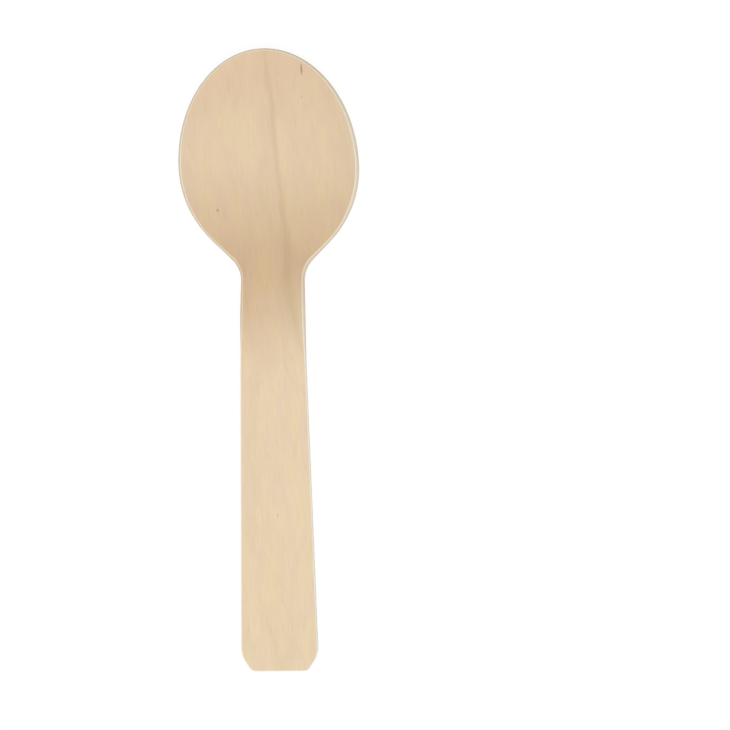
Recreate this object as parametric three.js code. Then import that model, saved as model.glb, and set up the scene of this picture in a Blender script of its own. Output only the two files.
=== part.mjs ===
// Single-use wooden spoon, punched from one leaf of birch veneer and hot pressed.
// Millimetres, +Z up. It lies as it rests on a table, hollow up, with the bowl's tip towards +Y.
// The belly and the tail's lower edge touch Z = 0, and the origin is below the middle of its
// length and width.
// "Station" is the distance from the bowl's tip towards the tail, and "across" the distance from
// the centreline.

import * as THREE from 'three';
import { mergeVertices } from 'three/addons/utils/BufferGeometryUtils.js';

const { clamp, degToRad, lerp, smoothstep } = THREE.MathUtils;

// The leaf
const LENGTH = 100;
const THICKNESS = 1.3;
const EDGE_EASE = 0.15; // rubbed off each corner of the cut edge

// Outline of the punched blank, on the middle of the leaf
const BOWL_WIDTH = 28.8;
const NOSE_LENGTH = 18.8; // tip to the widest place, a half ellipse
const SIDE_RADIUS = 17; // bowl side behind the widest place
const SHOULDER_ANGLE = degToRad(46); // straight that runs in to the neck, off the centreline
const NECK_WIDTH = 9.9;
const NECK_RADIUS = 4.9;
const TAIL_WIDTH = 12.4;
const TAIL_CUT_LENGTH = 2.5; // corner cut off the tail, along the handle
const TAIL_CUT_WIDTH = 1.7; // the same cut, across the handle
const TAIL_SIDE_RADIUS = 4.5;
const TAIL_END_RADIUS = 1.1;
const BOWL_LEAN = degToRad(1.9); // the bowl's line runs off to the left of the handle's
const LEAN_RUN = 8; // over which the line turns, at the neck

// Form given by the press, on the middle of the leaf
const FRONT_RADIUS = 80; // lengthwise, from the belly up to the tip
const CLIMB_ANGLE = degToRad(14); // steepest rise, from the bowl to the neck
const CLIMB_LENGTH = 2.5; // straight part of that rise
const CREST_RADIUS = 56; // lengthwise, over the neck into the handle
const BOWL_CROSS_RADIUS = 41; // crosswise, at the belly
const SHOULDER_CROSS_RADIUS = 65; // crosswise, where the climb begins and the leaf bends least readily
const SHOULDER_RUN = 7; // over which the bowl's hollow eases off into the shoulders
const NECK_CROSS_RADIUS = 17; // crosswise, in the neck's trough
const TROUGH_RUN = 6; // over which the trough forms, from the start of the climb
const TROUGH_HOLD = 3; // full trough behind that

// Facets
const PRESSED_PITCH = 1.25; // rows where the leaf is curved
const STRAIGHT_PITCH = 12; // rows where the handle is flat
const TURN_STEP = degToRad(12); // rows round an arc of the outline
const COLUMNS = 14; // even, so that one line of corners is the centreline
const SHORTEST_STRETCH = 1e-6; // where two arcs of the outline meet, the line between them has no length

// Corners of the outline's right half, as (across, station)
const halfBowl = BOWL_WIDTH / 2;
const halfNeck = NECK_WIDTH / 2;
const narrowing = halfBowl - halfNeck;
const handleFlare = Math.atan2(TAIL_WIDTH - NECK_WIDTH, LENGTH);
// In a narrow bowl the side and neck arcs meet before they reach the shoulder's angle
const arcsMeetAngle = Math.acos(1 - narrowing / (SIDE_RADIUS + NECK_RADIUS)) - handleFlare;
const shoulderTurn = Math.min(SHOULDER_ANGLE, arcsMeetAngle);
const sideCorner = new THREE.Vector2(halfBowl, NOSE_LENGTH + SIDE_RADIUS * Math.tan(shoulderTurn / 2));
const neckCorner = new THREE.Vector2(halfNeck, sideCorner.y + narrowing / Math.tan(shoulderTurn));
const tailCorner = new THREE.Vector2(TAIL_WIDTH / 2, LENGTH - TAIL_CUT_LENGTH);
const endCorner = new THREE.Vector2(TAIL_WIDTH / 2 - TAIL_CUT_WIDTH, LENGTH);
const endMiddle = new THREE.Vector2(0, LENGTH);

// Lengthwise line of the leaf: front arc, belly, back arc, straight climb, crest arc, straight handle
const belly = new THREE.Vector2(NOSE_LENGTH, THICKNESS / 2);
const climbEnd = neckCorner.y;
const climbStart = climbEnd - CLIMB_LENGTH;
const backRadius = (climbStart - belly.x) / Math.sin(CLIMB_ANGLE);
const climbSlope = Math.tan(CLIMB_ANGLE);
const climbFoot = belly.y + backRadius * (1 - Math.cos(CLIMB_ANGLE));
const crestCentre = new THREE.Vector2(
  climbEnd + CREST_RADIUS * Math.sin(CLIMB_ANGLE),
  climbFoot + CLIMB_LENGTH * climbSlope - CREST_RADIUS * Math.cos(CLIMB_ANGLE),
);
// The handle falls from the crest's arc to the tail, which rests on its eased lower edge
const crestToTail = new THREE.Vector2(LENGTH - EDGE_EASE, THICKNESS / 2).sub(crestCentre);
const handleFall = Math.PI / 2 - crestToTail.angle() - Math.acos(CREST_RADIUS / crestToTail.length());
const crestEnd = crestCentre.x + CREST_RADIUS * Math.sin(handleFall);

function arcRise(distance, radius) {
  return radius - Math.sqrt(radius * radius - distance * distance);
}

function spineHeight(station) {
  if (station < belly.x) {
    return belly.y + arcRise(belly.x - station, FRONT_RADIUS);
  }
  if (station < climbStart) {
    return belly.y + arcRise(station - belly.x, backRadius);
  }
  if (station < climbEnd) {
    return climbFoot + (station - climbStart) * climbSlope;
  }
  const reach = Math.min(station, crestEnd) - crestCentre.x;
  const arcHeight = crestCentre.y + CREST_RADIUS - arcRise(reach, CREST_RADIUS);
  return arcHeight - Math.max(station - crestEnd, 0) * Math.tan(handleFall);
}

// The hollow eases off at the shoulders, tightens into the neck's trough, and dies out where the
// handle becomes straight
function crossCurvature(station) {
  const troughEnd = climbStart + TROUGH_RUN;
  const atShoulder = smoothstep(station, climbStart - SHOULDER_RUN, climbStart);
  const atNeck = smoothstep(station, climbStart, troughEnd);
  const atHandle = smoothstep(station, troughEnd + TROUGH_HOLD, crestEnd);
  const inBowl = lerp(1 / BOWL_CROSS_RADIUS, 1 / SHOULDER_CROSS_RADIUS, atShoulder);
  return lerp(inBowl, 1 / NECK_CROSS_RADIUS, atNeck) * (1 - atHandle);
}

function sideways(station) {
  const turned = clamp((neckCorner.y + LEAN_RUN / 2 - station) / LEAN_RUN, 0, 1);
  const beyond = Math.max(neckCorner.y - LEAN_RUN / 2 - station, 0);
  return -Math.tan(BOWL_LEAN) * (0.5 * LEAN_RUN * turned * turned + beyond);
}

function middlePoint(across, station) {
  const height = spineHeight(station) + 0.5 * crossCurvature(station) * across * across;
  return new THREE.Vector3(across + sideways(station), -station, height);
}

// A point of the leaf, set off squarely from its middle surface
function leafPoint(across, station, offset) {
  const step = 0.01;
  const towardsRight = middlePoint(across + step, station).sub(middlePoint(across - step, station));
  const towardsTip = middlePoint(across, station - step).sub(middlePoint(across, station + step));
  const normal = towardsRight.cross(towardsTip).normalize();
  return middlePoint(across, station).addScaledVector(normal, offset);
}

// Draws on towards a corner, rounds it with an arc, and leaves the path heading for the next corner
function roundCorner(path, corner, next, radius) {
  const back = path.currentPoint.clone().sub(corner).normalize();
  const ahead = next.clone().sub(corner).normalize();
  const halfAngle = Math.acos(back.dot(ahead)) / 2;
  const bisector = back.clone().add(ahead).normalize();
  const centre = corner.clone().addScaledVector(bisector, radius / Math.sin(halfAngle));
  const setback = radius / Math.tan(halfAngle);
  const startAngle = corner.clone().addScaledVector(back, setback).sub(centre).angle();
  const endAngle = corner.clone().addScaledVector(ahead, setback).sub(centre).angle();
  const turnsOutwards = back.cross(ahead) > 0;
  path.absarc(centre.x, centre.y, radius, startAngle, endAngle, turnsOutwards);
}

function drawHalfOutline() {
  const path = new THREE.Path();
  path.absellipse(0, NOSE_LENGTH, halfBowl, NOSE_LENGTH, -Math.PI / 2, 0, false);
  roundCorner(path, sideCorner, neckCorner, SIDE_RADIUS);
  roundCorner(path, neckCorner, tailCorner, NECK_RADIUS);
  const straightShare = (crestEnd - neckCorner.y) / (tailCorner.y - neckCorner.y);
  const straightStart = neckCorner.clone().lerp(tailCorner, straightShare);
  path.lineTo(straightStart.x, straightStart.y);
  roundCorner(path, tailCorner, endCorner, TAIL_SIDE_RADIUS);
  roundCorner(path, endCorner, endMiddle, TAIL_END_RADIUS);
  return path;
}

function stepsAlong(stretch) {
  const pitch = stretch.getPoint(1).y < crestEnd + PRESSED_PITCH ? PRESSED_PITCH : STRAIGHT_PITCH;
  const turn = stretch.getTangent(0).angleTo(stretch.getTangent(1));
  return Math.ceil(Math.max(stretch.getLength() / pitch, turn / TURN_STEP));
}

// Corners of the right edge from tip to tail, moved in square to the outline by a margin
function rightEdge(path, margin) {
  const corners = [new THREE.Vector2(0, margin)];
  const stretches = path.curves.filter((curve) => curve.getLength() > SHORTEST_STRETCH);
  for (const stretch of stretches) {
    const steps = stepsAlong(stretch);
    for (let step = 1; step <= steps; step += 1) {
      const heading = stretch.getTangent(step / steps);
      const inwards = new THREE.Vector2(-heading.y, heading.x);
      corners.push(stretch.getPoint(step / steps).addScaledVector(inwards, margin));
    }
  }
  return corners;
}

// Places from the left edge to the right one, level with a corner of the right edge
function rowAcross(corner) {
  return Array.from({ length: COLUMNS + 1 }, (_, column) => {
    return new THREE.Vector2(corner.x * ((2 * column) / COLUMNS - 1), corner.y);
  });
}

// Places once round the outline, from the tip down the right edge, along the tail and back up
function loopAround(edge) {
  const tail = rowAcross(edge.at(-1)).reverse().slice(1, -1);
  const leftEdge = edge.map((corner) => new THREE.Vector2(-corner.x, corner.y)).reverse();
  return [...edge, ...tail, ...leftEdge];
}

const triangles = [];

function addTriangle(a, b, c) {
  if (a.distanceTo(b) > 0 && b.distanceTo(c) > 0 && c.distanceTo(a) > 0) {
    triangles.push(...a, ...b, ...c);
  }
}

// Joins two rows of points, with the diagonals mirrored about the middle
function addStrip(first, second) {
  for (let k = 1; k < first.length; k += 1) {
    if (2 * k < first.length) {
      addTriangle(first[k - 1], second[k - 1], second[k]);
      addTriangle(first[k - 1], second[k], first[k]);
    } else {
      addTriangle(first[k - 1], second[k - 1], first[k]);
      addTriangle(second[k - 1], second[k], first[k]);
    }
  }
}

const halfOutline = drawHalfOutline();
const cutEdge = rightEdge(halfOutline, 0);
const faceEdge = rightEdge(halfOutline, EDGE_EASE);
const halfThickness = THICKNESS / 2;

function liftPlaces(places, offset) {
  return places.map((place) => leafPoint(place.x, place.y, offset));
}

// Upper and lower faces
const upperRows = faceEdge.map((corner) => liftPlaces(rowAcross(corner), halfThickness));
const lowerRows = faceEdge.map((corner) => liftPlaces(rowAcross(corner), -halfThickness));
for (let row = 1; row < faceEdge.length; row += 1) {
  addStrip(upperRows[row - 1], upperRows[row]);
  addStrip(lowerRows[row], lowerRows[row - 1]);
}

// Cut edge, square to the leaf, with both corners eased
const edgeLoops = [
  liftPlaces(loopAround(faceEdge), -halfThickness),
  liftPlaces(loopAround(cutEdge), EDGE_EASE - halfThickness),
  liftPlaces(loopAround(cutEdge), halfThickness - EDGE_EASE),
  liftPlaces(loopAround(faceEdge), halfThickness),
];
for (let loop = 1; loop < edgeLoops.length; loop += 1) {
  addStrip(edgeLoops[loop - 1], edgeLoops[loop]);
}

const soup = new THREE.BufferGeometry();
soup.setAttribute('position', new THREE.Float32BufferAttribute(triangles, 3));
const leaf = mergeVertices(soup);
leaf.computeVertexNormals();
leaf.computeBoundingBox();

const birch = new THREE.MeshStandardMaterial({ color: 0xe3ccac, roughness: 0.72, metalness: 0 });
const spoon = new THREE.Mesh(leaf, birch);
spoon.name = 'spoon';
const middle = leaf.boundingBox.getCenter(new THREE.Vector3());
spoon.position.set(-middle.x, -middle.y, -leaf.boundingBox.min.z);

const group = new THREE.Group();
group.add(spoon);

export default group;
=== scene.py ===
import math

import bmesh
import bpy
import numpy as np
from mathutils import Matrix, Vector


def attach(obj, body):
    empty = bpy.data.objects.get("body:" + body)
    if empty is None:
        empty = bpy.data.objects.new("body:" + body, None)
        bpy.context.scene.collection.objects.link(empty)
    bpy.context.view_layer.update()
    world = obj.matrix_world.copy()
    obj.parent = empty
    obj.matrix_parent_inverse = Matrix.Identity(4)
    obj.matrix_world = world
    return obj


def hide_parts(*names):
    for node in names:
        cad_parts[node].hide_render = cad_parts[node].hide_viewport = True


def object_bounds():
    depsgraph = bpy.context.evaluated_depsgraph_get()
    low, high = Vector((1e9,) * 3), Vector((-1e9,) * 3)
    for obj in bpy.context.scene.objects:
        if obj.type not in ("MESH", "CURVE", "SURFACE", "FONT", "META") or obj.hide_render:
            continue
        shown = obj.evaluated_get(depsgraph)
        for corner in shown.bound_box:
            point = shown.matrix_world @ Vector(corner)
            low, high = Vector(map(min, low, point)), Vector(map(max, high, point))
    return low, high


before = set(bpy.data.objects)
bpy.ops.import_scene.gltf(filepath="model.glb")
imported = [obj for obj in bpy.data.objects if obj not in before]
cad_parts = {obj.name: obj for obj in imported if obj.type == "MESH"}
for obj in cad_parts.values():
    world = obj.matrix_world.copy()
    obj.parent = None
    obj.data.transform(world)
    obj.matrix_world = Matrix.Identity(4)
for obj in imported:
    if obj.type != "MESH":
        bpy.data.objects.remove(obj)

cad_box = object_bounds()

# The blank. A leaf of birch is peeled off the turning log with a long knife, dried, and punched
# to the spoon's outline with one stroke of a steel die. It is flat: x runs across it, y from the
# tail towards the tip, where y is 0, and z through its thickness.
LENGTH = 100.0
THICKNESS = 1.3
BOWL_WIDTH = 28.8
NOSE_LENGTH = 18.8
SIDE_RADIUS = 17.0
SHOULDER_ANGLE = math.radians(46)
NECK_WIDTH = 9.9
NECK_RADIUS = 4.9
TAIL_WIDTH = 12.4
TAIL_CUT_LENGTH = 2.5
TAIL_CUT_WIDTH = 1.7
TAIL_SIDE_RADIUS = 4.5
TAIL_END_RADIUS = 1.1
CURVE_POINTS = 400
HEADING_STEP = 0.02

half_thickness = THICKNESS / 2
half_bowl = BOWL_WIDTH / 2
half_neck = NECK_WIDTH / 2
side_y = NOSE_LENGTH + SIDE_RADIUS * math.tan(SHOULDER_ANGLE / 2)
neck_y = side_y + (half_bowl - half_neck) / math.tan(SHOULDER_ANGLE)


def round_corner(before, corner, after, radius):
    """Points along the arc that rounds a corner of the die."""
    back = (before - corner) / np.linalg.norm(before - corner)
    ahead = (after - corner) / np.linalg.norm(after - corner)
    half_angle = math.acos(back @ ahead) / 2
    bisector = (back + ahead) / np.linalg.norm(back + ahead)
    centre = corner + bisector * radius / math.sin(half_angle)
    setback = radius / math.tan(half_angle)
    first = corner + back * setback - centre
    last = corner + ahead * setback - centre
    start = math.atan2(first[1], first[0])
    turn = math.atan2(last[1], last[0]) - start
    turn = (turn + math.pi) % math.tau - math.pi
    angles = start + turn * np.linspace(0, 1, CURVE_POINTS)
    return centre + radius * np.column_stack([np.cos(angles), np.sin(angles)])


# Right half of the outline from the tip to the middle of the tail, as (across, station)
widest = np.array([half_bowl, NOSE_LENGTH])
side_corner = np.array([half_bowl, side_y])
neck_corner = np.array([half_neck, neck_y])
tail_corner = np.array([TAIL_WIDTH / 2, LENGTH - TAIL_CUT_LENGTH])
end_corner = np.array([TAIL_WIDTH / 2 - TAIL_CUT_WIDTH, LENGTH])
tail_middle = np.array([0, LENGTH])
nose_angles = np.linspace(0, math.pi / 2, CURVE_POINTS)
nose = widest * np.column_stack([np.sin(nose_angles), 1 - np.cos(nose_angles)])
outline = np.vstack([
    nose,
    round_corner(widest, side_corner, neck_corner, SIDE_RADIUS)[1:],
    round_corner(side_corner, neck_corner, tail_corner, NECK_RADIUS),
    round_corner(neck_corner, tail_corner, end_corner, TAIL_SIDE_RADIUS),
    round_corner(tail_corner, end_corner, tail_middle, TAIL_END_RADIUS),
    tail_middle,
])
walked = np.concatenate([[0], np.cumsum(np.linalg.norm(np.diff(outline, axis=0), axis=1))])


def on_outline(walk, inset):
    """Places on the outline at these distances from the tip, moved in square to it by an inset."""
    def at(distance):
        return np.column_stack([np.interp(distance, walked, outline[:, k]) for k in (0, 1)])

    heading = at(walk + HEADING_STEP) - at(walk - HEADING_STEP)
    heading /= np.linalg.norm(heading, axis=1, keepdims=True)
    return at(walk) + inset * np.column_stack([-heading[:, 1], heading[:, 0]])


# Squares of about 0.3 mm cover each face. Their rows bend to follow the round of the nose and
# the corners of the tail, so none of them comes to a point.
ROWS = 350
COLUMNS = 96
NOSE_BLEND = 22.0
TAIL_BLEND = 10.0
nose_share = np.interp(math.pi / 4, nose_angles, walked[:CURVE_POINTS])
cut_middle = np.argmin(np.linalg.norm(outline - (tail_corner + end_corner) / 2, axis=1))
tail_share = walked[cut_middle]


def mirrored(places):
    return places * [-1, 1]


def sides_of_blank(inset):
    """Tip row and tail row, left to right, and left and right sides, tip to tail."""
    tip_half = on_outline(np.linspace(0, nose_share, COLUMNS // 2 + 1), inset)
    tail_half = on_outline(np.linspace(walked[-1], tail_share, COLUMNS // 2 + 1), inset)
    right = on_outline(np.linspace(nose_share, tail_share, ROWS + 1), inset)
    tip_half[0, 0] = tail_half[0, 0] = 0
    tip_row = np.vstack([mirrored(tip_half[:0:-1]), tip_half])
    tail_row = np.vstack([mirrored(tail_half[:0:-1]), tail_half])
    return tip_row, tail_row, mirrored(right), right


def face_of_blank(inset):
    """The grid of places that covers a face, one row after another from the tip to the tail."""
    tip_row, tail_row, left, right = sides_of_blank(inset)
    share = np.linspace(0, 1, COLUMNS + 1)[None, :, None]
    level = left[:, None] * (1 - share) + right[:, None] * share
    from_tip = np.linspace(0, tail_share - nose_share, ROWS + 1)
    near_tip = np.clip(1 - from_tip / NOSE_BLEND, 0, 1)[:, None, None] ** 2
    near_tail = np.clip(1 - from_tip[::-1] / TAIL_BLEND, 0, 1)[:, None, None] ** 2
    return level + near_tip * (tip_row - level[0]) + near_tail * (tail_row - level[-1])


def round_the_rim(tip_row, tail_row, left, right):
    return np.concatenate([tip_row, right[1:], tail_row[::-1][1:], left[::-1][1:-1]])


# The cut edge. The die's cut is square to the leaf. Tumbling the punched spoons together in a
# drum rubs its two corners off, so that they don't scratch the mouth.
EDGE_EASE = 0.15
FLAT_BESIDE_EASE = 0.07
EASE_STEPS = 3
WALL_STEPS = 4
ease_angles = np.linspace(0, math.pi / 2, EASE_STEPS + 1)
upper_ease = np.column_stack([
    EDGE_EASE * (1 - np.sin(ease_angles)),
    half_thickness - EDGE_EASE * (1 - np.cos(ease_angles)),
])
wall_heights = np.linspace(1, -1, WALL_STEPS + 1)[1:-1] * (half_thickness - EDGE_EASE)
wall = np.column_stack([np.zeros(WALL_STEPS - 1), wall_heights])
lower_ease = upper_ease[::-1] * [1, -1]
rim_profile = np.vstack([upper_ease, wall, lower_ease])

blank_face = face_of_blank(EDGE_EASE + FLAT_BESIDE_EASE).reshape(-1, 2)
per_face = len(blank_face)
numbers = np.arange(per_face).reshape(ROWS + 1, COLUMNS + 1)
rim_numbers = round_the_rim(numbers[0], numbers[-1], numbers[:, 0], numbers[:, -1])
levels = [
    np.column_stack([blank_face, np.full(per_face, height)])
    for height in (half_thickness, -half_thickness)
]
loops = [rim_numbers]
for inset, height in rim_profile:
    loop = round_the_rim(*sides_of_blank(inset))
    loops.append(sum(map(len, levels)) + np.arange(len(loop)))
    levels.append(np.column_stack([loop, np.full(len(loop), height)]))
loops.append(rim_numbers + per_face)
blank_points = np.vstack(levels) * [1, -1, 1]

quads = np.stack([numbers[:-1, :-1], numbers[1:, :-1], numbers[1:, 1:], numbers[:-1, 1:]], axis=-1)
upper_quads = quads.reshape(-1, 4)
lower_quads = upper_quads[:, ::-1] + per_face
rim_quads = [
    np.column_stack([above, np.roll(above, -1), np.roll(below, -1), below])
    for above, below in zip(loops, loops[1:])
]
FACE, CUT = 0, 1
blank_quads = np.vstack([upper_quads, lower_quads, *rim_quads])
finish_of = np.full(len(blank_quads), CUT)
finish_of[: 2 * len(upper_quads)] = FACE
finish_of[2 * len(upper_quads) : 2 * len(upper_quads) + len(rim_quads[0])] = FACE
finish_of[-len(rim_quads[0]) :] = FACE

leaf_mesh = bpy.data.meshes.new("pressed_leaf")
leaf_mesh.from_pydata(blank_points.tolist(), [], blank_quads.tolist())
leaf_mesh.polygons.foreach_set("material_index", finish_of)

# The split, the pin-hole and the speck. Birch splits a little along the grain where the die comes
# through near the end of the fibres, and a bud's trace leaves a dark pin-hole. Each is a real
# hollow, so the squares around it are cut finer.
SPLIT = {"place": (6.15, 3.3), "half_size": (0.13, 1.0), "depth": 0.4, "tone": 0.5}
SPLIT_END = {"place": (5.9, 7.7), "half_size": (0.11, 0.35), "depth": 0.06, "tone": 0.2}
PIN_HOLE = {"place": (-8.7, 25.8), "half_size": (0.13, 0.27), "depth": 0.3, "tone": 0.35}
SPECK = {"place": (0.2, 74.8), "half_size": (0.12, 0.16), "depth": 0.15, "tone": 0.3}
HOLLOWS = [SPLIT, SPLIT_END, PIN_HOLE, SPECK]
FINE_CUTS = 3
FINE_MARGIN = 0.45
HOLLOW_STEEPNESS = 0.7
SAME_HEIGHT = 0.01


def is_beside(hollow, point):
    """Whether a point of the blank is on its upper face, in a hollow or close round it."""
    (across, station), (half_wide, half_long) = hollow["place"], hollow["half_size"]
    near_across = abs(point.x - across) < half_wide + FINE_MARGIN
    near_along = abs(point.y + station) < half_long + FINE_MARGIN
    return near_across and near_along and point.z > half_thickness - SAME_HEIGHT


blank = bmesh.new()
blank.from_mesh(leaf_mesh)
for hollow in HOLLOWS:
    (across, station), (half_wide, half_long) = hollow["place"], hollow["half_size"]
    nearby = [f for f in blank.faces if is_beside(hollow, f.calc_center_median())]
    edges = list({e for f in nearby for e in f.edges})
    bmesh.ops.subdivide_edges(blank, edges=edges, cuts=FINE_CUTS, use_grid_fill=True)
    for v in blank.verts:
        if is_beside(hollow, v.co):
            away = math.hypot((v.co.x - across) / half_wide, (v.co.y + station) / half_long)
            v.co.z -= hollow["depth"] * max(1 - away, 0) ** HOLLOW_STEEPNESS
blank.to_mesh(leaf_mesh)
blank.free()

# The press. The blank is steamed and closed between hot steel dies, which raise the bowl's rim
# and nose, bend the leaf up into the neck and over into the handle, and trough the neck.
FRONT_RADIUS = 80.0
CLIMB_ANGLE = math.radians(14)
CLIMB_LENGTH = 2.5
CREST_RADIUS = 56.0
BOWL_CROSS_RADIUS = 41.0
SHOULDER_CROSS_RADIUS = 65.0
SHOULDER_RUN = 7.0
NECK_CROSS_RADIUS = 17.0
TROUGH_RUN = 6.0
TROUGH_HOLD = 3.0
BOWL_LEAN = math.radians(1.9)
LEAN_RUN = 8.0
NORMAL_STEP = 0.01

climb_start = neck_y - CLIMB_LENGTH
back_radius = (climb_start - NOSE_LENGTH) / math.sin(CLIMB_ANGLE)
climb_foot = half_thickness + back_radius * (1 - math.cos(CLIMB_ANGLE))
crest_x = neck_y + CREST_RADIUS * math.sin(CLIMB_ANGLE)
crest_z = climb_foot + CLIMB_LENGTH * math.tan(CLIMB_ANGLE) - CREST_RADIUS * math.cos(CLIMB_ANGLE)
# The handle falls from the crest's arc to the tail, which rests on its eased lower edge
to_tail = np.array([LENGTH - EDGE_EASE - crest_x, half_thickness - crest_z])
tail_distance = np.linalg.norm(to_tail)
tail_slope = math.atan2(to_tail[1], to_tail[0])
handle_fall = math.pi / 2 - tail_slope - math.acos(CREST_RADIUS / tail_distance)
crest_end = crest_x + CREST_RADIUS * math.sin(handle_fall)
trough_end = climb_start + TROUGH_RUN


def arc_rise(distance, radius):
    return radius - np.sqrt(radius**2 - distance**2)


def smooth(value, low, high):
    share = np.clip((value - low) / (high - low), 0, 1)
    return share * share * (3 - 2 * share)


def spine_height(station):
    """Height of the leaf's middle line: front arc, back arc, climb, crest, straight handle."""
    front = half_thickness + arc_rise(np.minimum(station, NOSE_LENGTH) - NOSE_LENGTH, FRONT_RADIUS)
    back_reach = np.clip(station, NOSE_LENGTH, climb_start) - NOSE_LENGTH
    back = half_thickness + arc_rise(back_reach, back_radius)
    climb = climb_foot + (station - climb_start) * math.tan(CLIMB_ANGLE)
    crest_reach = np.clip(station, neck_y, crest_end) - crest_x
    crest = crest_z + CREST_RADIUS - arc_rise(crest_reach, CREST_RADIUS)
    handle = crest - np.maximum(station - crest_end, 0) * math.tan(handle_fall)
    stretches = [station < NOSE_LENGTH, station < climb_start, station < neck_y]
    return np.select(stretches, [front, back, climb], handle)


def cross_curvature(station):
    """The hollow eases off at the shoulders, tightens into the trough and dies out behind it."""
    at_shoulder = smooth(station, climb_start - SHOULDER_RUN, climb_start)
    at_neck = smooth(station, climb_start, trough_end)
    at_handle = smooth(station, trough_end + TROUGH_HOLD, crest_end)
    bowl, shoulder, neck = 1 / BOWL_CROSS_RADIUS, 1 / SHOULDER_CROSS_RADIUS, 1 / NECK_CROSS_RADIUS
    in_bowl = bowl + (shoulder - bowl) * at_shoulder
    return (in_bowl + (neck - in_bowl) * at_neck) * (1 - at_handle)


def sideways(station):
    """The leaf springs as it leaves the press, so the bowl's line leans off the handle's."""
    turned = np.clip((neck_y + LEAN_RUN / 2 - station) / LEAN_RUN, 0, 1)
    beyond = np.maximum(neck_y - LEAN_RUN / 2 - station, 0)
    return -math.tan(BOWL_LEAN) * (LEAN_RUN / 2 * turned**2 + beyond)


def middle_point(across, station):
    height = spine_height(station) + cross_curvature(station) * across**2 / 2
    return np.column_stack([across + sideways(station), -station, height])


def press(points):
    """Takes points of the flat blank to their places in the pressed leaf."""
    across, station, offset = points[:, 0], -points[:, 1], points[:, 2]
    right = middle_point(across + NORMAL_STEP, station)
    left = middle_point(across - NORMAL_STEP, station)
    ahead = middle_point(across, station - NORMAL_STEP)
    behind = middle_point(across, station + NORMAL_STEP)
    normal = np.cross(right - left, ahead - behind)
    normal /= np.linalg.norm(normal, axis=1, keepdims=True)
    return middle_point(across, station) + offset[:, None] * normal


flat = np.empty(len(leaf_mesh.vertices) * 3)
leaf_mesh.vertices.foreach_get("co", flat)
flat = flat.reshape(-1, 3)
MM = 0.001
pressed = press(flat) * MM
# The solid's facets cut its curves short by a hundredth of a millimetre, and the leaf is drawn
# in to the same box
low, high = np.array(cad_box)
pressed = low + (pressed - pressed.min(0)) * (high - low) / np.ptp(pressed, axis=0)
leaf_mesh.vertices.foreach_set("co", pressed.astype(np.float32).ravel())

# The grain. The strip lay a little askew in the die, so the grain runs off the spoon's length.
# Each point keeps its place in the wood (across the grain, along it and through the leaf), its
# place in the leaf, and how much brown it takes: in the neck partly the dies' scorch and partly
# painted shade, and at the nose a darker tone.
GRAIN_START = 0.2
GRAIN_SLOPE = 0.062
GRAIN_SHIFT = 1.8
GRAIN_TURN = (36.0, 54.0)
# The brown is 1 in the neck and less in the bowl and its nose. In the neck it is partly the scorch
# of the dies, which press hardest there, and partly painted shade where the leaf climbs away from
# the softbox. The nose is painted a little darker, fading out into the bowl. The dies sat askew,
# so the neck's brown reaches further down the left side.
BOWL_TINT = 0.15
NOSE_DARKENING = 0.45
NOSE_DARKENING_FADES = (3.0, 16.0)
NECK_TINT_RISE = (17.0, 34.0)
NECK_TINT_FALL = (36.0, 53.0)
NECK_TINT_SLANT = 0.5

station = -flat[:, 1]
grain_line = GRAIN_START + GRAIN_SLOPE * station + GRAIN_SHIFT * smooth(station, *GRAIN_TURN)
wood_place = leaf_mesh.attributes.new("wood_place", "FLOAT_VECTOR", "POINT")
places_in_wood = np.column_stack([flat[:, 0] - grain_line, station, flat[:, 2]])
wood_place.data.foreach_set("vector", places_in_wood.astype(np.float32).ravel())
leaf_place = leaf_mesh.attributes.new("leaf_place", "FLOAT_VECTOR", "POINT")
leaf_place.data.foreach_set("vector", (flat * [1, -1, 1]).astype(np.float32).ravel())
# Brown in the neck, partly the dies' scorch and partly painted shade, and a darker tone at the nose
tint_and_shade = leaf_mesh.attributes.new("tint_and_shade", "FLOAT", "POINT")
# The nose is painted darker, and this fades out towards the bowl
tint_and_shade_amount = BOWL_TINT + (NOSE_DARKENING - BOWL_TINT) * (1 - smooth(station, *NOSE_DARKENING_FADES))
tint_and_shade_amount += (1 - BOWL_TINT) * smooth(station, *NECK_TINT_RISE)
tint_and_shade_amount *= 1 - smooth(station + NECK_TINT_SLANT * flat[:, 0], *NECK_TINT_FALL)
tint_and_shade.data.foreach_set("value", tint_and_shade_amount.astype(np.float32))
leaf_mesh.polygons.foreach_set("use_smooth", np.ones(len(leaf_mesh.polygons), bool))
leaf_mesh.update()

leaf = bpy.data.objects.new("pressed_leaf", leaf_mesh)
bpy.context.scene.collection.objects.link(leaf)
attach(leaf, "root")
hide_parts("spoon")

# The faces are rotary-cut birch, pressed hot and left bare. Birch is pale cream with a pinkish
# cast. The knife and the polished dies leave it smooth and matt, so what shows is its colour:
# soft yellow and pink patches, fine fibres, and short vessels that the knife opened lengthwise.
BIRCH_PINK = "ebd2b4"
BIRCH_YELLOW = "ecd6b2"
FLAME = "dfc8a4"
FIBRE_DARK = "c9a87c"
FIBRE_PALE = "f6e8d0"
VESSEL_DARK = "bf9c74"
VESSEL_PALE = "f8ecd6"
GROWTH_RING = "f6f5f2"
TINT_AND_SHADE_BROWN = "f1e8dd"
PITH_BROWN = "7d5a36"
BLUSH_SIZE = (2.3, 8.0)
FLAME_SIZE = (3.4, 13.0)
# Birch fibres are about 0.025 mm wide and 1.5 mm long, too fine to show, so bundles of them are
# drawn, and the vessels are drawn a little wider than their 0.08 mm
FIBRE_SIZE = (0.22, 3.5)
VESSEL_PITCH = (0.42, 4.5)
VESSEL_REACH = 0.17
VESSEL_CORE = 0.3
FIBRE_RELIEF = 0.015
OPENED_DEPTH = 1.5
FACE_BUMP = 0.6
FACE_SPECULAR = 0.3
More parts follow.
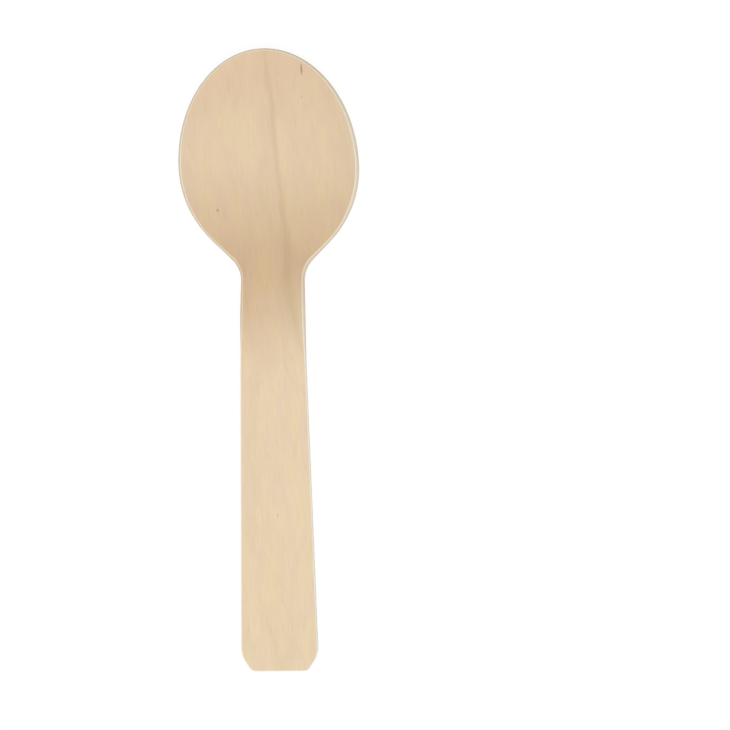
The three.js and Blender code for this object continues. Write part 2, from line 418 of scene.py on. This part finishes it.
# Each range is for a MapRange, which takes a value from one stretch (inputs 1 and 2) to another
# (3 and 4, which are 0 and 1 where they aren't given)
BLUSH_RANGE = {1: 0.38, 2: 0.62}
FLAME_RANGE = {1: 0.45, 2: 0.8, 4: 0.4}
DARK_FIBRE_RANGE = {1: 0.48, 2: 0.8, 4: 0.16}
PALE_FIBRE_RANGE = {1: 0.48, 2: 0.2, 4: 0.25}
DARK_CELL_RANGE = {1: 0.5, 2: 0.8, 4: 0.3}
PALE_CELL_RANGE = {1: 0.4, 2: 0.15, 4: 0.3}
PITH_RANGE = {1: 1.2, 2: 0.2}
DULLNESS_RANGE = {1: 0.3, 2: 0.8, 3: 0.6, 4: 0.74}
SOFT = {"interpolation_type": "SMOOTHSTEP"}
COLOUR = {"data_type": "RGBA"}
STAIN = {"data_type": "RGBA", "blend_type": "MULTIPLY"}


def linear(hex_colour):
    """A colour written as sRGB hex, as Blender's linear RGBA."""
    parts = [int(hex_colour[k : k + 2], 16) / 255 for k in (0, 2, 4)]
    return *[c / 12.92 if c <= 0.04045 else ((c + 0.055) / 1.055) ** 2.4 for c in parts], 1.0


def add_node(tree, kind, inputs, output=0, **settings):
    """Adds a node with its settings and links, and returns one of its outputs.

    Inputs are values or other nodes' outputs, by the input's name or number.
    """
    made = tree.nodes.new("ShaderNode" + kind)
    for name, value in settings.items():
        setattr(made, name, value)
    for name, value in inputs.items():
        if isinstance(value, bpy.types.NodeSocket):
            tree.links.new(value, made.inputs[name])
        else:
            made.inputs[name].default_value = value
    return made.outputs[output] if made.outputs else made


def wood_figure(tree, size, detail, roll, distort=0.0):
    """Soft figure in the wood, of this size across and along the grain. Each roll is another."""
    width, length = size
    wood = add_node(tree, "Attribute", {}, "Vector", attribute_name="wood_place")
    per_mm = {0: wood, 1: (1 / width, 1 / length, 1 / width), 2: (roll, roll, roll)}
    scaled = add_node(tree, "VectorMath", per_mm, operation="MULTIPLY_ADD")
    noise_inputs = {"Vector": scaled, "Scale": 1.0, "Detail": detail, "Distortion": distort}
    return add_node(tree, "TexNoise", noise_inputs)


peeled = bpy.data.materials.new("hot-pressed rotary birch")
peeled.use_nodes = True
tree = peeled.node_tree
in_wood = add_node(tree, "Attribute", {}, "Vector", attribute_name="wood_place")
in_leaf = add_node(tree, "Attribute", {}, "Vector", attribute_name="leaf_place")
tinted_and_shaded = add_node(tree, "Attribute", {}, "Fac", attribute_name="tint_and_shade")
off_grain = add_node(tree, "SeparateXYZ", {0: in_wood}, "X")
along = add_node(tree, "SeparateXYZ", {0: in_leaf}, "Y")
through = add_node(tree, "SeparateXYZ", {0: in_leaf}, "Z")

blush_noise = wood_figure(tree, BLUSH_SIZE, detail=1.0, roll=3.1, distort=0.4)
blush = add_node(tree, "MapRange", {0: blush_noise, **BLUSH_RANGE}, **SOFT)
tones = {0: blush, 6: linear(BIRCH_PINK), 7: linear(BIRCH_YELLOW)}
wood = add_node(tree, "Mix", tones, 2, **COLOUR)
flame_noise = wood_figure(tree, FLAME_SIZE, detail=2.0, roll=8.4, distort=0.9)
flame = add_node(tree, "MapRange", {0: flame_noise, **FLAME_RANGE}, **SOFT)
wood = add_node(tree, "Mix", {0: flame, 6: wood, 7: linear(FLAME)}, 2, **COLOUR)

fibre_noise = wood_figure(tree, FIBRE_SIZE, detail=3.0, roll=0.0)
dark_fibre = add_node(tree, "MapRange", {0: fibre_noise, **DARK_FIBRE_RANGE}, **SOFT)
pale_fibre = add_node(tree, "MapRange", {0: fibre_noise, **PALE_FIBRE_RANGE}, **SOFT)
wood = add_node(tree, "Mix", {0: dark_fibre, 6: wood, 7: linear(FIBRE_DARK)}, 2, **COLOUR)
wood = add_node(tree, "Mix", {0: pale_fibre, 6: wood, 7: linear(FIBRE_PALE)}, 2, **COLOUR)

# One vessel lies in the middle of each long cell. The cell's own tone makes it dark, pale or none.
vessel_scale = (1 / VESSEL_PITCH[0], 1 / VESSEL_PITCH[1], 1 / VESSEL_PITCH[0])
pitched = add_node(tree, "VectorMath", {0: in_wood, 1: vessel_scale}, operation="MULTIPLY")
off_vessel = add_node(tree, "TexVoronoi", {"Vector": pitched, "Scale": 1.0}, "Distance")
cell_colour = add_node(tree, "TexVoronoi", {"Vector": pitched, "Scale": 1.0}, "Color")
cell_tone = add_node(tree, "SeparateColor", {0: cell_colour})
vessel_range = {0: off_vessel, 1: VESSEL_REACH, 2: VESSEL_REACH * VESSEL_CORE}
vessel = add_node(tree, "MapRange", vessel_range, **SOFT)
dark_cell = add_node(tree, "MapRange", {0: cell_tone, **DARK_CELL_RANGE}, **SOFT)
pale_cell = add_node(tree, "MapRange", {0: cell_tone, **PALE_CELL_RANGE}, **SOFT)
dark_vessel = add_node(tree, "Math", {0: vessel, 1: dark_cell}, operation="MULTIPLY")
pale_vessel = add_node(tree, "Math", {0: vessel, 1: pale_cell}, operation="MULTIPLY")
wood = add_node(tree, "Mix", {0: dark_vessel, 6: wood, 7: linear(VESSEL_DARK)}, 2, **COLOUR)
wood = add_node(tree, "Mix", {0: pale_vessel, 6: wood, 7: linear(VESSEL_PALE)}, 2, **COLOUR)

# A growth ring that the knife met at a slant: a soft greyish line down the bowl, which broadens
# towards the neck and fades out in the handle. It wanders a little off the grain.
RING_WANDER = 0.9
RING_WANDER_SIZE = (6.0, 9.0)
RING_HALF_WIDTH = (0.8, 1.4)
RING_OPENS = (17.0, 36.0)
RING_ENDS = (40.0, 54.0)
ring_noise = wood_figure(tree, RING_WANDER_SIZE, detail=1.0, roll=5.7)
wander_range = {0: ring_noise, 3: -RING_WANDER / 2, 4: RING_WANDER / 2}
wander = add_node(tree, "MapRange", wander_range)
wandered = add_node(tree, "Math", {0: off_grain, 1: wander}, operation="ADD")
off_ring = add_node(tree, "Math", {0: wandered}, operation="ABSOLUTE")
opening = {
    0: along, 1: RING_OPENS[0], 2: RING_OPENS[1],
    3: RING_HALF_WIDTH[0], 4: RING_HALF_WIDTH[1],
}
ring_width = add_node(tree, "MapRange", opening, **SOFT)
ring = add_node(tree, "MapRange", {0: off_ring, 1: ring_width, 2: 0.0}, **SOFT)
ring_ends = add_node(tree, "MapRange", {0: along, 1: RING_ENDS[1], 2: RING_ENDS[0]}, **SOFT)
ring = add_node(tree, "Math", {0: ring, 1: ring_ends}, operation="MULTIPLY")
wood = add_node(tree, "Mix", {0: ring, 6: wood, 7: linear(GROWTH_RING)}, 2, **STAIN)

# The neck is painted browner: partly the scorch of the dies, which press hardest and stay hottest
# there, and partly painted shade. The nose takes a little of the same brown.
wood = add_node(tree, "Mix", {0: tinted_and_shaded, 6: wood, 7: linear(TINT_AND_SHADE_BROWN)}, 2, **STAIN)

# The underside was the loose side of the peel. The knife opened hairline checks in it, along the
# grain. They are drawn a little wider than their 0.03 mm, so that they show.
CHECK_SIZE = (0.8, 26.0)
CHECK_HALF_WIDTH = 0.01
CHECK_BROWN = "c9ae88"
CHECK_BREAK_SIZE = (2.5, 12.0)
CHECK_BREAK_RANGE = {1: 0.45, 2: 0.6}
check_noise = wood_figure(tree, CHECK_SIZE, detail=1.0, roll=21.0)
near_middle = {0: check_noise, 1: 0.5, 2: CHECK_HALF_WIDTH}
on_check = add_node(tree, "Math", near_middle, operation="COMPARE")
broken_noise = wood_figure(tree, CHECK_BREAK_SIZE, detail=1.0, roll=33.0)
unbroken = add_node(tree, "MapRange", {0: broken_noise, **CHECK_BREAK_RANGE}, **SOFT)
check = add_node(tree, "Math", {0: on_check, 1: unbroken}, operation="MULTIPLY")
below = add_node(tree, "Math", {0: through, 1: 0.0}, operation="LESS_THAN")
check = add_node(tree, "Math", {0: check, 1: below}, operation="MULTIPLY")
wood = add_node(tree, "Mix", {0: check, 6: wood, 7: linear(CHECK_BROWN)}, 2, **COLOUR)

for hollow in HOLLOWS:
    (across, station_at), (half_wide, half_long) = hollow["place"], hollow["half_size"]
    middle = (across, station_at, half_thickness)
    centred = add_node(tree, "VectorMath", {0: in_leaf, 1: middle}, operation="SUBTRACT")
    reach = (1 / half_wide, 1 / half_long, 1 / half_thickness)
    scaled = add_node(tree, "VectorMath", {0: centred, 1: reach}, operation="MULTIPLY")
    away = add_node(tree, "VectorMath", {0: scaled}, "Value", operation="LENGTH")
    pith = add_node(tree, "MapRange", {0: away, **PITH_RANGE, 4: hollow["tone"]}, **SOFT)
    wood = add_node(tree, "Mix", {0: pith, 6: wood, 7: linear(PITH_BROWN)}, 2, **COLOUR)

opened = add_node(tree, "Math", {0: dark_vessel, 1: check}, operation="ADD")
sunken = {0: opened, 1: -OPENED_DEPTH, 2: fibre_noise}
relief = add_node(tree, "Math", sunken, operation="MULTIPLY_ADD")
bump_inputs = {"Strength": FACE_BUMP, "Distance": FIBRE_RELIEF * MM, "Height": relief}
bump = add_node(tree, "Bump", bump_inputs)
dullness = add_node(tree, "MapRange", {0: fibre_noise, **DULLNESS_RANGE})
shader = tree.nodes["Principled BSDF"]
tree.links.new(wood, shader.inputs["Base Color"])
tree.links.new(bump, shader.inputs["Normal"])
tree.links.new(dullness, shader.inputs["Roughness"])
shader.inputs["Specular IOR Level"].default_value = FACE_SPECULAR
leaf_mesh.materials.append(peeled)

# The edge is birch cut across by the die, and shows fresh wood, paler than the faces and rougher.
# The die shears the upper part clean and bright and tears the rest, which is painted duller,
# partly for the torn wood and partly as painted shade on the lower part of the edge, and the
# year rings lie along it as fine lines. At the neck it takes the same brown as the faces, partly
# the dies' scorch and partly painted shade.
FRESH_BIRCH = "f8eedb"
TORN_AND_SHADED_BIRCH = "eee0c8"
RING_LINE = "d8c09a"
EDGE_TINT_AND_SHADE = "f6eee2"
TEAR_AND_SHADE_SIZE = (0.5, 1.2)
TEAR_AND_SHADE_SPREAD = 0.5
TEAR_AND_SHADE_RANGE = {1: 0.5, 2: 0.1}
RING_LINE_SIZE = (0.16, 9.0)
RING_LINE_RANGE = {1: 0.5, 2: 0.8, 4: 0.3}
EDGE_RELIEF = 0.03
EDGE_BUMP = 0.7
EDGE_ROUGHNESS = 0.85
EDGE_SPECULAR = 0.2

cut_edge = bpy.data.materials.new("die-cut birch edge")
cut_edge.use_nodes = True
tree = cut_edge.node_tree
in_leaf = add_node(tree, "Attribute", {}, "Vector", attribute_name="leaf_place")
tinted_and_shaded = add_node(tree, "Attribute", {}, "Fac", attribute_name="tint_and_shade")
through = add_node(tree, "SeparateXYZ", {0: in_leaf}, "Z")
# The lower part of the edge is painted duller: partly torn wood, partly painted shade
tear_and_shade_noise = wood_figure(tree, TEAR_AND_SHADE_SIZE, detail=2.0, roll=0.0)
tear_and_shade_inputs = {0: tear_and_shade_noise, 1: TEAR_AND_SHADE_SPREAD, 2: through}
tear_and_shade_height = add_node(tree, "Math", tear_and_shade_inputs, operation="MULTIPLY_ADD")
torn_and_shaded = add_node(tree, "MapRange", {0: tear_and_shade_height, **TEAR_AND_SHADE_RANGE}, **SOFT)
wood = add_node(tree, "Mix", {0: torn_and_shaded, 6: linear(FRESH_BIRCH), 7: linear(TORN_AND_SHADED_BIRCH)}, 2, **COLOUR)
line_noise = wood_figure(tree, RING_LINE_SIZE, detail=2.0, roll=0.0)
lines = add_node(tree, "MapRange", {0: line_noise, **RING_LINE_RANGE}, **SOFT)
wood = add_node(tree, "Mix", {0: lines, 6: wood, 7: linear(RING_LINE)}, 2, **COLOUR)
# At the neck the edge takes the faces' brown, partly the dies' scorch and partly painted shade
wood = add_node(tree, "Mix", {0: tinted_and_shaded, 6: wood, 7: linear(EDGE_TINT_AND_SHADE)}, 2, **STAIN)
bump_inputs = {"Strength": EDGE_BUMP, "Distance": EDGE_RELIEF * MM, "Height": line_noise}
bump = add_node(tree, "Bump", bump_inputs)
shader = tree.nodes["Principled BSDF"]
tree.links.new(wood, shader.inputs["Base Color"])
tree.links.new(bump, shader.inputs["Normal"])
shader.inputs["Roughness"].default_value = EDGE_ROUGHNESS
shader.inputs["Specular IOR Level"].default_value = EDGE_SPECULAR
leaf_mesh.materials.append(cut_edge)

# The table is a sheet of white paper, wide enough to fill any view. Light off it reaches the
# spoon as it would off paper, and to the camera it shows white with the spoon's faint shadow.
TABLE_REACH = 3.0
PAPER = "f5f5f5"
SHADOW_STRENGTH = 0.1
GLOW = 1.03

corner_ways = ((-1, -1), (1, -1), (1, 1), (-1, 1))
table_corners = [(x * TABLE_REACH, y * TABLE_REACH, 0) for x, y in corner_ways]
table_mesh = bpy.data.meshes.new("table")
table_mesh.from_pydata(table_corners, [], [(0, 1, 2, 3)])
table = bpy.data.objects.new("table", table_mesh)
bpy.context.scene.collection.objects.link(table)


def background_rays(tree):
    """1 for rays that show the background: the camera's own, mirrored ones and ones let through."""
    camera_ray = add_node(tree, "LightPath", {}, "Is Camera Ray")
    glossy_ray = add_node(tree, "LightPath", {}, "Is Glossy Ray")
    clear_ray = add_node(tree, "LightPath", {}, "Is Transmission Ray")
    shown = add_node(tree, "Math", {0: camera_ray, 1: glossy_ray}, operation="ADD")
    return add_node(tree, "Math", {0: shown, 1: clear_ray}, operation="ADD", use_clamp=True)


paper = bpy.data.materials.new("white paper")
paper.use_nodes = True
tree = paper.node_tree
tree.nodes.clear()
shaded = add_node(tree, "BsdfDiffuse", {"Color": (1, 1, 1, 1)})
glow = add_node(tree, "Emission", {"Strength": GLOW})
seen = add_node(tree, "MixShader", {0: SHADOW_STRENGTH, 1: glow, 2: shaded})
bounce = add_node(tree, "BsdfDiffuse", {"Color": linear(PAPER)})
sheet = add_node(tree, "MixShader", {0: background_rays(tree), 1: bounce, 2: seen})
add_node(tree, "OutputMaterial", {"Surface": sheet})
table_mesh.materials.append(paper)

# The studio is an even white room, with one wide softbox overhead, a little towards the tail and
# to the right.
ROOM_LIGHT = 0.62
SOFTBOX_SIZE = 0.5
SOFTBOX_DISTANCE = 1.0
SOFTBOX_LIGHT = 0.5
softbox_way = Vector((0.1, -0.33, 0.94)).normalized()

room = bpy.data.worlds.new("studio")
bpy.context.scene.world = room
room.use_nodes = True
tree = room.node_tree
tree.nodes.clear()
lit = add_node(tree, "Background", {"Strength": ROOM_LIGHT})
backdrop = add_node(tree, "Background", {"Strength": 1.0})
either = add_node(tree, "MixShader", {0: background_rays(tree), 1: lit, 2: backdrop})
add_node(tree, "OutputWorld", {"Surface": either})

softbox_lamp = bpy.data.lights.new("softbox", "AREA")
softbox_lamp.size = SOFTBOX_SIZE
# A lamp of energy E gives E / (pi * distance) squared on a sheet that faces it
softbox_lamp.energy = SOFTBOX_LIGHT * (math.pi * SOFTBOX_DISTANCE) ** 2
softbox = bpy.data.objects.new("softbox", softbox_lamp)
softbox.location = softbox_way * SOFTBOX_DISTANCE
softbox.rotation_mode = "QUATERNION"
softbox.rotation_quaternion = softbox_way.to_track_quat("Z", "Y")
bpy.context.scene.collection.objects.link(softbox)

# The camera looks almost straight down on a place beside the spoon's middle, from a little to the
# right of it, and is turned a little on its axis.
LENS = 184.53
SENSOR = 36
AIM = Vector((15.014, -0.994, 2.0)) * MM
LEAN = math.radians(4.5)
ROLL = math.radians(-0.807)
CAMERA_DISTANCE = 0.6

camera_data = bpy.data.cameras.new("camera")
camera_data.lens = LENS
camera_data.sensor_width = SENSOR
camera = bpy.data.objects.new("camera", camera_data)
camera.matrix_world = (
    Matrix.Translation(AIM)
    @ Matrix.Rotation(LEAN, 4, "Y")
    @ Matrix.Rotation(ROLL, 4, "Z")
    @ Matrix.Translation((0, 0, CAMERA_DISTANCE))
)
bpy.context.scene.collection.objects.link(camera)
bpy.context.scene.camera = camera
bpy.context.scene.view_settings.view_transform = "Standard"
